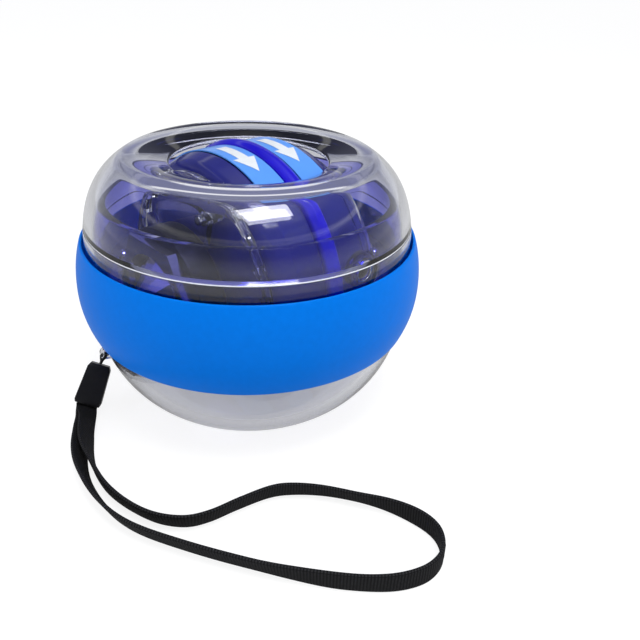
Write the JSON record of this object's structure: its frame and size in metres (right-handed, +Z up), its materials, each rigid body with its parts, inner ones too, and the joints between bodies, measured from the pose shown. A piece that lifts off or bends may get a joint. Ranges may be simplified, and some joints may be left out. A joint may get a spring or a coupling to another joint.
{
  "type": "gyroscopic wrist ball",
  "caption": "Clear ball with a hand-started rotor in a precessing ring, a silicone grip band and a looped wrist strap.",
  "frame": {"origin": "middle of the flat foot that the ball stands on", "axes": "+Z up through the middle of the round mouth; -Y towards the camera of the picture; the rotor's axle lies level, its spring end 218 degrees round from +X"},
  "size_m": [0.072, 0.0968, 0.0544],
  "materials": {
    "clear": "clear moulded plastic, polished",
    "race": "dark blue tinted see-through plastic, glossy",
    "grip": "sky blue silicone, satin",
    "rotor": "dark blue tinted plastic, glossy",
    "rib": "deep blue tinted plastic, glossy",
    "sticker": "light blue printed film, satin",
    "steel": "polished metal",
    "brass": "turned brass, satin",
    "black": "black moulded plastic",
    "strap": "black woven nylon"
  },
  "bodies": {
    "shell": {"upper_shell": "clear", "lower_shell": "clear", "grip_band": "grip", "race_ring_lower": "race", "race_ring_upper": "race", "boss_ferrule": "steel", "boss_plug": "black", "strap_clip": "black", "strap_webbing": "strap", "strap_string": "strap"},
    "ring": {"ring_half_lower": "steel", "ring_half_upper": "steel", "ring_screw_1": "steel", "ring_screw_2": "steel", "ring_screw_3": "steel", "ring_screw_4": "steel", "bush_left": "brass", "bush_right": "brass", "bearing_cone_left": "clear", "bearing_cone_right": "clear", "spring_housing": "black", "housing_nut": "steel", "power_spring": "steel"},
    "rotor": {"axle": "steel", "rotor_half_left": "rotor", "rotor_half_right": "rotor", "weight_ring_left": "steel", "weight_ring_right": "steel", "sticker_band_left": "sticker", "sticker_band_right": "sticker", "mid_rib": "rib", "ratchet_ring": "clear", "trim_ring": "steel"},
    "arbor": {"spring_arbor": "steel", "pawl_carrier": "clear"},
    "pawl_a": {"pawl_a": "steel"},
    "pawl_b": {"pawl_b": "steel"}
  },
  "joints": [
    {"name": "ring_precession", "type": "hinge", "parent": "shell", "child": "ring", "pos_m": [0, 0, 0.0282], "axis": [0, 0, 1], "continuous": true},
    {"name": "rotor_spin", "type": "hinge", "parent": "ring", "child": "rotor", "pos_m": [0, 0, 0.0282], "axis": [-0.788, -0.6157, 0], "continuous": true},
    {"name": "spring_wind", "type": "hinge", "parent": "ring", "child": "arbor", "pos_m": [0, 0, 0.0282], "axis": [-0.788, -0.6157, 0], "range_deg": [0, 1080]},
    {"name": "pawl_a_swing", "type": "hinge", "parent": "arbor", "child": "pawl_a", "pos_m": [-0.00823, -0.01156, 0.0433], "axis": [-0.788, -0.6157, 0], "range_deg": [0, 22.5]},
    {"name": "pawl_b_swing", "type": "hinge", "parent": "arbor", "child": "pawl_b", "pos_m": [-0.01321, -0.00518, 0.0131], "axis": [-0.788, -0.6157, 0], "range_deg": [0, 22.5]}
  ]
}
